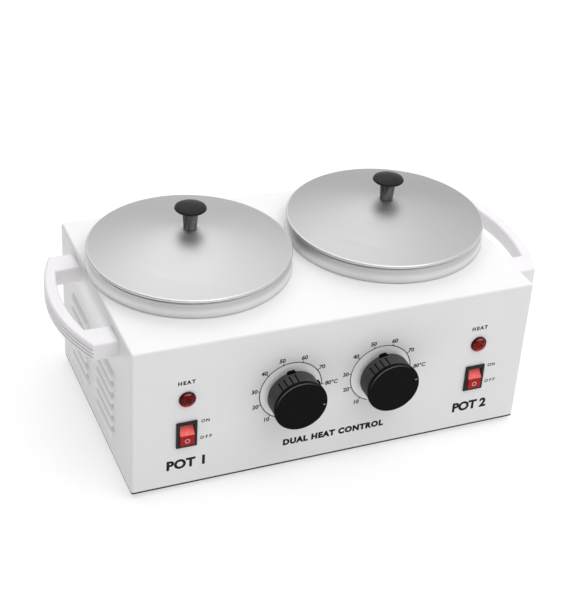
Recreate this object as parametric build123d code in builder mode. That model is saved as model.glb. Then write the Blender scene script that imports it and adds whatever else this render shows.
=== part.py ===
from build123d import *
import os
from math import cos, radians, sin, sqrt

# Double wax warmer: a pressed steel box that holds two heated wells, each with a lift-out
# aluminium wax pot, a lid, a thermostat dial, a rocker switch and a pilot lamp.
# Millimetres, +Z up, the front panel faces -Y, X runs along the width. The origin is on the
# bench, under the middle of the whole object's box.

os.makedirs("parts", exist_ok=True)

# ---------------------------------------------------------------- driving dimensions
body_w = 300.0          # pressed steel box, along X
body_d = 179.0          # along Y
body_h = 116.0          # along Z, without the feet
sheet = 1.0             # steel thickness
corner_r = 2.0          # outside radius of the upright corners
bend_r = 2.0            # outside radius along the top edges
foot_h = 5.0
base_inset = 1.4        # base plate edge inside the box's outline
flange_w = 14.0         # inward flange along the box's lower edge

dial_reach = 20.0       # front panel to the dial's face
inlet_reach = 2.5       # back panel to the inlet flange's face

base_z = foot_h + sheet                     # top of the base plate, and the box's lower edge
top_z = base_z + body_h
body_y = (dial_reach - inlet_reach) / 2     # centres the whole object's box on the origin
front_y = body_y - body_d / 2
back_y = body_y + body_d / 2
wall_x = body_w / 2

pot_x = 76.5            # pot axes, each side of the middle
pot_y = body_y + 10.5
well_r = 62.5           # heated well, inside
well_t = 1.2
well_floor = 40.0       # underside of the well
well_flange_r = 70.0
well_hole_r = 64.9      # hole in the top of the box
well_screw_r = 67.3     # pitch radius of the flange screws
pot_t = 1.0
pot_r = 60.4            # pot wall, middle of the sheet
rim_h = 11.0            # pot rim above the top of the box
skirt_r = 73.4          # foot of the rim's skirt
gap = 0.3               # lift-out parts stand this far off what carries them

lid_t = 0.9
lid_r = 72.4            # centre of the bead round the lid's edge
lid_bead = 1.2
lid_rise = 15.4         # cone height above the bead
lid_base = top_z + rim_h + pot_t / 2 + gap + lid_bead

dial_x = 35.0
dial_z = base_z + 63.0
dial_r = 18.8
dial_lip_r = 19.6
dial_gap = 4.0          # panel to the dial's back
shaft_r = 3.0
thermostat_pitch = 14.0

control_x = 110.8       # rocker switches and pilot lamps, each side of the middle
switch_z = base_z + 42.7
lamp_z = base_z + 72.4
bezel_w, bezel_h, bezel_t = 15.0, 21.0, 1.8
window_w, window_h = 10.6, 17.4
barrel_w, barrel_h, barrel_d = 12.8, 19.0, 16.0

handle_y = body_y - 2.0
handle_top = base_z + 109.0
handle_h = 13.0
handle_half = 59.0      # half the handle's length along Y
handle_arm = 20.4       # arm width along Y
handle_reach = 31.9     # outside of the bow, from the box's wall
bow_t = 9.2

inlet_z = 34.0
inlet_pitch = 20.0      # flange screws, each side of the middle
inlet_cut_w, inlet_cut_h = 27.5, 20.0

bore_gap = 0.05         # round a shaft or screw in its own bore
panel_gap = 0.1         # round a barrel in its panel hole

SIDES = {"left": -1, "right": 1}


def save(piece, node):
    """Label a finished piece and write it as one node."""
    piece.part.label = node
    export_step(piece.part, f"parts/{node}.step")


def radial_plane(side):
    """Plane through a pot's axis: local x is the radius and local y is the height."""
    return Plane(origin=(side * pot_x, pot_y, 0), x_dir=(1, 0, 0), z_dir=(0, -1, 0))


def pot_axis(side):
    return Axis((side * pot_x, pot_y, 0), (0, 0, 1))


def front_plane(x, z, proud=0.0):
    """Plane on the front panel, facing the user, raised by proud."""
    return Plane(origin=(x, front_y - proud, z), x_dir=(1, 0, 0), z_dir=(0, -1, 0))


def back_plane(x, z, proud=0.0):
    return Plane(origin=(x, back_y + proud, z), x_dir=(-1, 0, 0), z_dir=(0, 1, 0))


def screw_group(node, seats, head_r, head_h, shank_r, length):
    """Identical pan-head screws, each seated on a plane that faces out of its head."""
    head_taper = 12
    slot_w = head_r * 0.3
    with BuildPart() as screws:
        with BuildSketch(*seats):
            Circle(head_r)
        extrude(amount=head_h, taper=head_taper)
        with BuildSketch(*seats):
            Circle(shank_r)
        extrude(amount=-length)
        with BuildSketch(*[seat.offset(head_h) for seat in seats]):
            Rectangle(head_r, slot_w)
            Rectangle(slot_w, head_r)
        extrude(amount=-head_h / 2, mode=Mode.SUBTRACT)
    save(screws, node)


# ---------------------------------------------------------------- shared placings
handle_mid_z = handle_top - handle_h / 2
arm_offset = handle_half - handle_arm / 2
arm_ys = (handle_y - arm_offset, handle_y + arm_offset)

foot_inset = 26.0
foot_spots = {
    "front_left": (-wall_x + foot_inset, front_y + foot_inset),
    "front_right": (wall_x - foot_inset, front_y + foot_inset),
    "rear_left": (-wall_x + foot_inset, back_y - foot_inset),
    "rear_right": (wall_x - foot_inset, back_y - foot_inset),
}
base_screw_x = 130.0
base_screw_inset = 7.0
base_screw_spots = [(x, y) for x in (-base_screw_x, 0, base_screw_x)
                    for y in (front_y + base_screw_inset, back_y - base_screw_inset)]
well_screw_spots = [
    (side * pot_x + well_screw_r * cos(radians(a)), pot_y + well_screw_r * sin(radians(a)))
    for side in SIDES.values() for a in (90, 210, 330)
]

base_screw_r = 1.4
foot_screw_r = 2.0
handle_screw_r = 2.4
well_screw_shank_r = 1.4
thermostat_screw_r = 1.95
inlet_screw_r = 1.5
lamp_barrel_r = 5.0
bush_r = 4.6

# ---------------------------------------------------------------- housing
louvre_l, louvre_h, louvre_out = 41.0, 7.0, 2.7
louvre_pitch_y, louvre_pitch_z = 65.5, 9.8
louvre_y = body_y + 3.7
louvre_z = base_z + 47.5
louvre_rows = 6
hood_t = 0.8            # steel left over a louvre after pressing
# section of one louvre: local x points out of the wall and local y up
louvre_planes = [
    Plane(origin=(s * wall_x, louvre_y + (column - 0.5) * louvre_pitch_y,
                  louvre_z + (row - (louvre_rows - 1) / 2) * louvre_pitch_z),
          x_dir=(s, 0, 0), z_dir=(0, -s, 0))
    for s in SIDES.values() for column in range(2) for row in range(louvre_rows)
]
hood_slope = louvre_out / louvre_h
hood_step = hood_t * sqrt(1 + hood_slope ** 2)      # steel measured straight out of the wall
hollow_top = louvre_h / 2 + (sheet - hood_step) / hood_slope

with BuildPart() as housing_shell:
    with BuildSketch(Plane((0, body_y, base_z))):
        RectangleRounded(body_w, body_d, corner_r)
    extrude(amount=body_h)
    fillet(faces().sort_by(Axis.Z)[-1].edges(), bend_r)
    offset(amount=-sheet, openings=faces().sort_by(Axis.Z)[0])
    # inward flange that the base plate screws to
    with BuildSketch(Plane((0, body_y, base_z))):
        RectangleRounded(body_w, body_d, corner_r)
        Rectangle(body_w - 2 * flange_w, body_d - 2 * flange_w, mode=Mode.SUBTRACT)
    extrude(amount=sheet)
    # pressed louvres: sloping hoods, hollow and open below
    with BuildSketch(*louvre_planes):
        Polygon((-sheet / 2, louvre_h / 2), (0, louvre_h / 2), (louvre_out, -louvre_h / 2),
                (-sheet / 2, -louvre_h / 2), align=None)
    extrude(amount=louvre_l / 2, both=True)
    with BuildSketch(*louvre_planes):
        Polygon((-sheet, hollow_top), (louvre_out - hood_step, -louvre_h / 2), (-sheet, -louvre_h / 2),
                align=None)
    extrude(amount=louvre_l / 2 - hood_t, both=True, mode=Mode.SUBTRACT)
    # holes in the top for the wells and their flange screws
    with BuildSketch(Plane.XY.offset(top_z)):
        with Locations(*[(s * pot_x, pot_y) for s in SIDES.values()]):
            Circle(well_hole_r)
        with Locations(*well_screw_spots):
            Circle(well_screw_shank_r + bore_gap)
    extrude(amount=-sheet, mode=Mode.SUBTRACT)
    # front panel: thermostats, lamps and switches
    with BuildSketch(front_plane(0, 0)):
        for s in SIDES.values():
            with Locations((s * dial_x, dial_z)):
                Circle(bush_r + 0.4)
                with GridLocations(2 * thermostat_pitch, 0, 2, 1):
                    Circle(thermostat_screw_r + 0.2)
            with Locations((s * control_x, lamp_z)):
                Circle(lamp_barrel_r + panel_gap)
            with Locations((s * control_x, switch_z)):
                Rectangle(barrel_w + 0.4, barrel_h + 0.4)
    extrude(amount=-sheet, mode=Mode.SUBTRACT)
    # back panel: the power inlet
    with BuildSketch(back_plane(0, inlet_z)):
        Rectangle(inlet_cut_w, inlet_cut_h)
        with GridLocations(2 * inlet_pitch, 0, 2, 1):
            Circle(inlet_screw_r + panel_gap)
    extrude(amount=-sheet, mode=Mode.SUBTRACT)
    # side walls: the handles' screws
    for s in SIDES.values():
        with BuildSketch(Plane(origin=(s * wall_x, 0, 0), x_dir=(0, s, 0), z_dir=(s, 0, 0))):
            with Locations(*[(s * y, handle_mid_z) for y in arm_ys]):
                Circle(handle_screw_r + 0.15)
        extrude(amount=-sheet, mode=Mode.SUBTRACT)
    # lower flange: the base plate's screws
    with BuildSketch(Plane.XY.offset(base_z)):
        with Locations(*base_screw_spots):
            Circle(base_screw_r + bore_gap)
    extrude(amount=sheet, mode=Mode.SUBTRACT)
save(housing_shell, "housing_shell")

vent_l, vent_w = 34.0, 4.0
with BuildPart() as base_plate:
    with BuildSketch(Plane((0, body_y, foot_h))):
        RectangleRounded(body_w - 2 * base_inset, body_d - 2 * base_inset, corner_r - base_inset)
        # two fields of cooling slots, one under each well
        for s in SIDES.values():
            with Locations((s * pot_x, pot_y - body_y)):
                with GridLocations(44.0, 10.0, 2, 6):
                    SlotOverall(vent_l, vent_w, mode=Mode.SUBTRACT)
    extrude(amount=sheet)
    with BuildSketch(Plane.XY.offset(foot_h)):
        with Locations(*foot_spots.values()):
            Circle(foot_screw_r + panel_gap)
        with Locations(*base_screw_spots):
            Circle(base_screw_r + 0.2)
    extrude(amount=sheet, mode=Mode.SUBTRACT)
save(base_plate, "base_plate")

screw_group("base_screws",
            [Plane(origin=(x, y, foot_h), x_dir=(1, 0, 0), z_dir=(0, 0, -1)) for x, y in base_screw_spots],
            head_r=2.8, head_h=1.8, shank_r=base_screw_r, length=8.0)

# ---------------------------------------------------------------- feet
foot_seat = 2.6         # depth of the screw's pocket in the foot
for corner, (x, y) in foot_spots.items():
    with BuildPart() as foot:
        with BuildSketch(Plane((x, y, foot_h))):
            Circle(9.0)
        extrude(amount=-foot_h, taper=8)
        fillet(edges().sort_by(Axis.Z)[0], 0.8)
        with BuildSketch(Plane((x, y, 0))):
            Circle(4.4)
        extrude(amount=foot_seat, mode=Mode.SUBTRACT)
        with BuildSketch(Plane((x, y, 0))):
            Circle(foot_screw_r + panel_gap)
        extrude(amount=foot_h, mode=Mode.SUBTRACT)
    save(foot, f"foot_{corner}")

screw_group("foot_screws",
            [Plane(origin=(x, y, foot_seat), x_dir=(1, 0, 0), z_dir=(0, 0, -1))
             for x, y in foot_spots.values()],
            head_r=3.8, head_h=1.8, shank_r=foot_screw_r, length=9.0)

nut_h = 3.0
with BuildPart() as foot_nuts:
    with BuildSketch(Plane.XY.offset(base_z)):
        with Locations(*foot_spots.values()):
            RegularPolygon(4.0, 6)
            Circle(foot_screw_r + bore_gap, mode=Mode.SUBTRACT)
    extrude(amount=nut_h)
save(foot_nuts, "foot_nuts")

# ---------------------------------------------------------------- handles
# Each handle is a bowed bar on two arms. Seen from above, the bow's outside and inside are arcs.
outer_half = handle_half
outer_tip = handle_reach
outer_end = 18.0        # the arms' outer corners, from the wall
inner_half = handle_half - handle_arm
inner_tip = handle_reach - bow_t
inner_end = 17.6        # the finger gap's outer corners, from the wall
groove_w, groove_depth = 1.2, 0.8
for side_name, s in SIDES.items():
    handle_plane = Plane(origin=(s * wall_x, handle_y, handle_top), x_dir=(s, 0, 0), z_dir=(0, 0, 1))
    with BuildPart() as handle:
        with BuildSketch(handle_plane):
            with BuildLine():
                Polyline((outer_end, -outer_half), (0, -outer_half), (0, outer_half), (outer_end, outer_half))
                ThreePointArc((outer_end, -outer_half), (outer_tip, 0), (outer_end, outer_half))
            make_face()
            with BuildLine():
                Polyline((inner_end, -inner_half), (-1, -inner_half), (-1, inner_half),
                         (inner_end, inner_half))
                ThreePointArc((inner_end, -inner_half), (inner_tip, 0), (inner_end, inner_half))
            make_face(mode=Mode.SUBTRACT)
        extrude(amount=-handle_h)
        free_edges = faces().filter_by(Axis.Z).edges().filter_by(lambda e: abs(e.center().X - s * wall_x) > 1)
        fillet(free_edges.group_by(Axis.Z)[-1], 2.0)
        fillet(free_edges.group_by(Axis.Z)[0], 1.2)
        # three grip grooves along the outside of the bow
        for depth in (4.0, 6.9, 9.8):
            with BuildSketch(handle_plane.offset(-depth + groove_w / 2)):
                with BuildLine():
                    ThreePointArc((outer_end - groove_depth, -outer_half), (outer_tip - groove_depth, 0),
                                  (outer_end - groove_depth, outer_half))
                    Polyline((outer_end - groove_depth, -outer_half), (outer_tip + 3, -outer_half),
                             (outer_tip + 3, outer_half), (outer_end - groove_depth, outer_half))
                make_face()
            extrude(amount=-groove_w, mode=Mode.SUBTRACT)
        # screw bores in the arms
        with BuildSketch(Plane(origin=(s * wall_x, 0, 0), x_dir=(0, s, 0), z_dir=(s, 0, 0))):
            with Locations(*[(s * y, handle_mid_z) for y in arm_ys]):
                Circle(handle_screw_r + bore_gap)
        extrude(amount=12.0, mode=Mode.SUBTRACT)
    save(handle, f"handle_{side_name}")

screw_group("handle_screws",
            [Plane(origin=(s * (wall_x - sheet), y, handle_mid_z), x_dir=(0, 1, 0), z_dir=(-s, 0, 0))
             for s in SIDES.values() for y in arm_ys],
            head_r=4.4, head_h=2.6, shank_r=handle_screw_r, length=12.0)

# ---------------------------------------------------------------- heated wells
band_in, band_t = well_r + well_t + 0.1, 3.5
band_low, band_high = 52.0, 88.0
wrap_in, wrap_out = band_in + band_t + 0.4, 71.0
wrap_low, wrap_high = 50.0, 102.0
lug_angle = -35.0       # the clamp faces the middle of the box, towards the front
lug_gap = 7.0           # between the two lugs' inner faces
lug_t, lug_l, lug_h = 1.2, 10.0, 13.0
heater_tab_angle = 11.0     # heater tabs, each side of the clamp
heater_tab_drop = 8.0
heater_r = band_in + band_t / 2


def clamp_plane(side, z):
    """Horizontal plane on a pot's axis, with local x pointing out through the clamp."""
    a = radians(lug_angle)
    return Plane(origin=(side * pot_x, pot_y, z), x_dir=(-side * cos(a), sin(a), 0), z_dir=(0, 0, 1))


for side_name, s in SIDES.items():
    with BuildPart() as heating_well:
        with BuildSketch(radial_plane(s)):
            with BuildLine():
                FilletPolyline((well_flange_r, top_z + well_t / 2), (well_r + well_t / 2, top_z + well_t / 2),
                               (well_r + well_t / 2, well_floor + well_t / 2), (0, well_floor + well_t / 2),
                               radius=[0.9, 4.0])
            trace(line_width=well_t)
        revolve(axis=pot_axis(s))
        with BuildSketch(Plane.XY.offset(top_z)):
            with Locations(*[spot for spot in well_screw_spots if spot[0] * s > 0]):
                Circle(well_screw_shank_r + 0.2)
        extrude(amount=well_t, mode=Mode.SUBTRACT)
    save(heating_well, f"heating_well_{side_name}")

    with BuildPart() as heater_band:
        with BuildSketch(clamp_plane(s, band_low)):
            Circle(band_in + band_t)
            Circle(band_in, mode=Mode.SUBTRACT)
            with Locations((band_in, 0)):
                Rectangle(4 * band_t, lug_gap, mode=Mode.SUBTRACT)
        extrude(amount=band_high - band_low)
        # two clamp lugs
        mid = (band_low + band_high) / 2
        with BuildSketch(clamp_plane(s, mid - lug_h / 2)):
            with Locations(*[(band_in + band_t + lug_l / 2 - 1, t * (lug_gap + lug_t) / 2) for t in (-1, 1)]):
                Rectangle(lug_l + 2, lug_t)
        extrude(amount=lug_h)
        # two tabs under the band for the wires
        with BuildSketch(clamp_plane(s, band_low)):
            with PolarLocations(heater_r, 2, start_angle=-heater_tab_angle,
                                angular_range=4 * heater_tab_angle):
                Rectangle(1.0, 6.3)
        extrude(amount=-heater_tab_drop)
        # the clamp screw's holes through the lugs
        lug_plane = clamp_plane(s, mid)
        screw_plane = Plane(origin=lug_plane.from_local_coords((band_in + band_t + 6.0, 0, 0)),
                            x_dir=(0, 0, 1), z_dir=lug_plane.y_dir)
        with BuildSketch(screw_plane):
            Circle(1.6)
        extrude(amount=lug_gap, both=True, mode=Mode.SUBTRACT)
    save(heater_band, f"heater_band_{side_name}")

    with BuildPart() as insulation_wrap:
        with BuildSketch(clamp_plane(s, wrap_low)):
            Circle(wrap_out)
            Circle(wrap_in, mode=Mode.SUBTRACT)
            with Locations((wrap_out, 0)):
                Rectangle(4 * band_t, 18.0, mode=Mode.SUBTRACT)
        extrude(amount=wrap_high - wrap_low)
    save(insulation_wrap, f"insulation_wrap_{side_name}")

clamp_seats = []
for s in SIDES.values():
    lug_plane = clamp_plane(s, (band_low + band_high) / 2)
    seat = lug_plane.from_local_coords((band_in + band_t + 6.0, lug_gap / 2 + lug_t, 0))
    clamp_seats.append(Plane(origin=seat, x_dir=(0, 0, 1), z_dir=lug_plane.y_dir))
screw_group("heater_clamp_screws", clamp_seats, head_r=2.8, head_h=2.0, shank_r=1.5, length=14.0)

screw_group("well_screws", [Plane((x, y, top_z + well_t)) for x, y in well_screw_spots],
            head_r=2.4, head_h=1.6, shank_r=well_screw_shank_r, length=8.0)

# ---------------------------------------------------------------- lift-out pots and lids
pot_floor = well_floor + well_t + gap + pot_t / 2
knob_screw_r = 1.9
knob_h = 18.2
foot_r, stem_r, cap_r = 4.8, 5.6, 11.5
seat_r = 7.0            # flat of the lid under the knob
for side_name, s in SIDES.items():
    rim_z = top_z + rim_h
    with BuildPart() as wax_pot:
        with BuildSketch(radial_plane(s)):
            with BuildLine():
                FilletPolyline((skirt_r, top_z + gap + 0.1), (skirt_r - 1.6, rim_z), (skirt_r - 5.0, rim_z),
                               (pot_r, top_z + 5.0), (pot_r - 1.4, pot_floor), (0, pot_floor),
                               radius=[1.2, 1.6, 3.0, 8.0])
            trace(line_width=pot_t)
        revolve(axis=pot_axis(s))
    save(wax_pot, f"wax_pot_{side_name}")

    apex_z = lid_base + lid_rise
    lid_edge_z = lid_base + lid_bead - lid_t / 2        # the cone runs into the top of the bead
    with BuildPart() as lid:
        with BuildSketch(radial_plane(s)):
            with BuildLine():
                ThreePointArc((lid_r, lid_edge_z), (lid_r * 0.52, lid_base + lid_rise * 0.61),
                              (seat_r, apex_z))
                Line((seat_r, apex_z), (knob_screw_r + 0.3, apex_z))
            trace(line_width=lid_t)
            with Locations((lid_r, lid_base)):
                Circle(lid_bead)
        revolve(axis=pot_axis(s))
    save(lid, f"lid_{side_name}")

    knob_z = apex_z + lid_t / 2
    dome_z = knob_z + knob_h
    with BuildPart() as lid_knob:
        with BuildSketch(radial_plane(s)):
            with BuildLine():
                Polyline((0, dome_z), (0, knob_z), (foot_r, knob_z), (stem_r, knob_z + 11.5),
                         (6.8, knob_z + 13.4), (cap_r - 0.8, knob_z + 14.5), (cap_r, knob_z + 15.3),
                         (cap_r - 0.6, knob_z + 16.2))
                TangentArc((0, dome_z), (cap_r - 0.6, knob_z + 16.2), tangent=(1, 0))
            make_face()
        revolve(axis=pot_axis(s))
        with BuildSketch(Plane((s * pot_x, pot_y, knob_z))):
            Circle(knob_screw_r + bore_gap)
        extrude(amount=10.0, mode=Mode.SUBTRACT)
    save(lid_knob, f"lid_knob_{side_name}")

    screw_group(f"lid_screw_{side_name}",
                [Plane(origin=(s * pot_x, pot_y, apex_z - lid_t / 2), x_dir=(1, 0, 0), z_dir=(0, 0, -1))],
                head_r=3.8, head_h=2.2, shank_r=knob_screw_r, length=10.0)

# ---------------------------------------------------------------- thermostats and dials
bracket_t = 1.2
bracket_front = sheet                   # depths are measured back from the front panel's face
case_front = sheet + bracket_t
case_w, case_h, case_d = 24.0, 28.0, 24.0
bush_out = 2.0          # bush ahead of the panel
dial_rest = {"left": -6.0, "right": 14.0}       # pointer angles at rest, up from three o'clock
tab_w, tab_t, tab_l = 6.3, 0.8, 8.0
shaft_flat = 2.0
shaft_l = 11.0          # shaft inside the dial
hub_r, skirt_t = 6.0, 2.0
lug_angles = {"left": (15.0, 98.0), "right": (100.0,)}
grip_start = {"left": 94.0, "right": 99.5}      # first finger groove of a group, at rest
grip_step = 13.2
grip_back, grip_front = 8.0, 16.0       # finger grooves, measured from the panel
neck_t, neck_depth = 1.2, 0.9           # shadow gap between the skirt and the face's lip
for side_name, s in SIDES.items():
    x = s * dial_x
    with BuildPart() as thermostat_bracket:
        with BuildSketch(front_plane(x, dial_z, -bracket_front)):
            RectangleRounded(38.0, 22.0, 3)
        extrude(amount=-bracket_t)
        with BuildSketch(front_plane(x, dial_z, -bracket_front)):
            Circle(bush_r)
        extrude(amount=bracket_front + bush_out)
        with BuildSketch(front_plane(x, dial_z, bush_out)):
            Circle(shaft_r + bore_gap)
            with GridLocations(2 * thermostat_pitch, 0, 2, 1):
                Circle(thermostat_screw_r + bore_gap)
        extrude(amount=-bush_out - case_front, mode=Mode.SUBTRACT)
    save(thermostat_bracket, f"thermostat_bracket_{side_name}")

    with BuildPart() as thermostat_body:
        with BuildSketch(front_plane(x, dial_z, -case_front)):
            RectangleRounded(case_w, case_h, 2)
        extrude(amount=-case_d)
        with BuildSketch(front_plane(x, dial_z, -case_front)):
            Circle(shaft_r + 0.3)
        extrude(amount=-6.0, mode=Mode.SUBTRACT)
    save(thermostat_body, f"thermostat_body_{side_name}")

    with BuildPart() as thermostat_shaft:
        with BuildSketch(front_plane(x, dial_z, -case_front - 4.0)):
            Circle(shaft_r)
        extrude(amount=case_front + 4.0 + dial_gap)
        with BuildSketch(front_plane(x, dial_z, dial_gap)):
            Circle(shaft_r)
            with Locations((0, shaft_flat + 2.0)):
                Rectangle(2 * shaft_r, 4.0, mode=Mode.SUBTRACT)
        extrude(amount=shaft_l)
    save(thermostat_shaft, f"thermostat_shaft_{side_name}")

    lip_t = 2.6
    pointer = dial_rest[side_name]
    with BuildPart() as thermostat_knob:
        with BuildSketch(front_plane(x, dial_z, dial_gap)):
            Circle(dial_r)
        extrude(amount=dial_reach - dial_gap)
        with BuildSketch(front_plane(x, dial_z, dial_reach - lip_t)):
            Circle(dial_lip_r)
        extrude(amount=lip_t)
        fillet(faces().sort_by(Axis.Y)[0].edges(), 1.0)
        # hollow behind, round the hub
        with BuildSketch(front_plane(x, dial_z, dial_gap)):
            Circle(dial_r - skirt_t)
            Circle(hub_r, mode=Mode.SUBTRACT)
        extrude(amount=shaft_l, mode=Mode.SUBTRACT)
        # the shaft's bore, with its flat
        with BuildSketch(front_plane(x, dial_z, dial_gap)):
            Circle(shaft_r + 0.04)
            with Locations((0, shaft_flat + 0.04 + 2.0)):
                Rectangle(3 * shaft_r, 4.0, mode=Mode.SUBTRACT)
        extrude(amount=shaft_l + 0.4, mode=Mode.SUBTRACT)
        # three groups of four finger grooves round the skirt
        with BuildSketch(front_plane(x, dial_z, grip_back)):
            for group in range(3):
                start = grip_start[side_name] + 120 * group
                with PolarLocations(dial_r + 0.1, 4, start_angle=start, angular_range=4 * grip_step):
                    Rectangle(1.4, 1.2)
        extrude(amount=grip_front - grip_back, mode=Mode.SUBTRACT)
        with BuildSketch(front_plane(x, dial_z, dial_reach - lip_t - neck_t)):
            Circle(dial_lip_r)
            Circle(dial_r - neck_depth, mode=Mode.SUBTRACT)
        extrude(amount=neck_t, mode=Mode.SUBTRACT)
        # lugs at the back edge
        with BuildSketch(front_plane(x, dial_z, dial_gap)):
            for angle in lug_angles[side_name]:
                with PolarLocations(dial_r - 1.6, 1, start_angle=angle):
                    RectangleRounded(6.6, 6.6, 2.0)
        extrude(amount=2.0)
        # pointer notch in the face
        with BuildSketch(front_plane(x, dial_z, dial_reach)):
            with PolarLocations(dial_r - 2.2, 1, start_angle=pointer):
                SlotOverall(3.6, 1.2)
        extrude(amount=-0.6, mode=Mode.SUBTRACT)
    save(thermostat_knob, f"thermostat_knob_{side_name}")

screw_group("thermostat_screws",
            [front_plane(s * dial_x + t * thermostat_pitch, dial_z) for s in SIDES.values() for t in (-1, 1)],
            head_r=3.4, head_h=2.0, shank_r=thermostat_screw_r, length=case_front)

# brass tabs under each thermostat's case
tab_depth = 14.0        # behind the front panel's face
case_low = dial_z - case_h / 2
thermostat_tab_dx = 7.0
tab_y = front_y + tab_depth
with BuildPart() as thermostat_terminals:
    with BuildSketch(Plane((0, tab_y, case_low))):
        with Locations(*[(s * dial_x + t * thermostat_tab_dx, 0)
                         for s in SIDES.values() for t in (-1, 0, 1)]):
            Rectangle(tab_w, tab_t)
    extrude(amount=-tab_l)
save(thermostat_terminals, "thermostat_terminals")

# copper capillary from each thermostat to its bulb under the well
bulb_r, bulb_l = 2.0, 50.0
bulb_z = well_floor - bulb_r - 0.1
capillary_r = 0.8
capillary_y = front_y + 22.0
for side_name, s in SIDES.items():
    x = s * dial_x
    bulb_x = s * (pot_x - bulb_l / 2)
    with BuildPart() as capillary:
        with BuildLine():
            FilletPolyline((x, capillary_y, case_low), (x, capillary_y, bulb_z), (x, pot_y, bulb_z),
                           (bulb_x, pot_y, bulb_z), radius=[8.0, 8.0])
        with BuildSketch(Plane(origin=(x, capillary_y, case_low), z_dir=(0, 0, -1))):
            Circle(capillary_r)
        sweep()
        with BuildSketch(Plane(origin=(bulb_x, pot_y, bulb_z), z_dir=(s, 0, 0))):
            Circle(bulb_r)
        extrude(amount=bulb_l)
    save(capillary, f"capillary_{side_name}")

# ---------------------------------------------------------------- rocker switches
rocker_w = window_w - 0.4
pin_r = 0.9
cavity_d = 9.0
switch_tab_dz = 5.0
switch_rear = front_y + barrel_d
for side_name, s in SIDES.items():
    x = s * control_x
    with BuildPart() as switch_body:
        with BuildSketch(front_plane(x, switch_z)):
            Rectangle(bezel_w, bezel_h)
        extrude(amount=bezel_t)
        fillet(faces().sort_by(Axis.Y)[0].edges(), 0.7)
        with BuildSketch(front_plane(x, switch_z)):
            Rectangle(barrel_w, barrel_h)
        extrude(amount=-barrel_d)
        with BuildSketch(front_plane(x, switch_z, bezel_t)):
            Rectangle(window_w, window_h)
        extrude(amount=-bezel_t - cavity_d, mode=Mode.SUBTRACT)
        # bearings for the rocker's pins
        with BuildSketch(Plane(origin=(x, front_y, switch_z), x_dir=(0, 1, 0), z_dir=(1, 0, 0))):
            Circle(pin_r + bore_gap)
        extrude(amount=window_w / 2 + 0.8, both=True, mode=Mode.SUBTRACT)
    save(switch_body, f"switch_body_{side_name}")

    # the rocker's upper half is pressed in: its section is drawn about the pivot
    with BuildPart() as rocker:
        with BuildSketch(Plane(origin=(x, front_y, switch_z), x_dir=(0, 1, 0), z_dir=(1, 0, 0))):
            with BuildLine():
                Polyline((-2.7, 0.3), (-2.6, -8.0), (1.6, -7.8), (3.6, -3.0), (3.6, 3.0), (4.4, 7.2),
                         (2.4, 7.6), close=True)
            make_face()
            fillet(vertices().sort_by(Axis.Z)[0], 0.5)
        extrude(amount=rocker_w / 2, both=True)
        with BuildSketch(Plane(origin=(x, front_y, switch_z), x_dir=(0, 1, 0), z_dir=(1, 0, 0))):
            Circle(pin_r)
        extrude(amount=rocker_w / 2 + 0.7, both=True)
    save(rocker, f"rocker_{side_name}")

with BuildPart() as switch_terminals:
    for s in SIDES.values():
        rear_plane = Plane(origin=(s * control_x, switch_rear, switch_z), x_dir=(1, 0, 0), z_dir=(0, 1, 0))
        with BuildSketch(rear_plane):
            with GridLocations(0, 2 * switch_tab_dz, 1, 2):
                Rectangle(tab_w, tab_t)
        extrude(amount=tab_l)
save(switch_terminals, "switch_terminals")

# ---------------------------------------------------------------- pilot lamps
ring_r, ring_t = 6.0, 1.5
lens_r = 5.4
lens_edge, lens_top = 2.0, 3.8         # lens side and crown, from the panel
cup_floor = 0.6
lamp_barrel_l = 16.0
lamp_rear = front_y + lamp_barrel_l
lamp_tab_dx, lamp_tab_l = 2.6, 5.0
for side_name, s in SIDES.items():
    x = s * control_x
    with BuildPart() as lamp_body:
        with BuildSketch(front_plane(x, lamp_z)):
            Circle(ring_r)
        extrude(amount=ring_t)
        fillet(faces().sort_by(Axis.Y)[0].edges(), 0.5)
        with BuildSketch(front_plane(x, lamp_z)):
            Circle(lamp_barrel_r)
        extrude(amount=-lamp_barrel_l)
        with BuildSketch(front_plane(x, lamp_z, ring_t)):
            Circle(lens_r + bore_gap)
        extrude(amount=-ring_t + cup_floor, mode=Mode.SUBTRACT)
        # two wire tabs at the back
        with BuildSketch(Plane(origin=(x, lamp_rear, lamp_z), x_dir=(1, 0, 0), z_dir=(0, 1, 0))):
            with GridLocations(2 * lamp_tab_dx, 0, 2, 1):
                Rectangle(0.8, 2.8)
        extrude(amount=lamp_tab_l)
    save(lamp_body, f"lamp_body_{side_name}")

    lamp_plane = Plane(origin=(x, front_y, lamp_z), x_dir=(1, 0, 0), z_dir=(0, 0, 1))
    with BuildPart() as lamp_lens:
        with BuildSketch(lamp_plane):
            with BuildLine():
                Polyline((0, -lens_top), (0, -cup_floor), (lens_r, -cup_floor), (lens_r, -lens_edge))
                TangentArc((0, -lens_top), (lens_r, -lens_edge), tangent=(1, 0))
            make_face()
        revolve(axis=Axis((x, front_y, lamp_z), (0, 1, 0)))
    save(lamp_lens, f"lamp_lens_{side_name}")

with BuildPart() as lamp_nuts:
    for s in SIDES.values():
        with BuildSketch(front_plane(s * control_x, lamp_z, -sheet)):
            RegularPolygon(8.0, 6)
            Circle(lamp_barrel_r + bore_gap, mode=Mode.SUBTRACT)
        extrude(amount=-nut_h)
save(lamp_nuts, "lamp_nuts")

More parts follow.
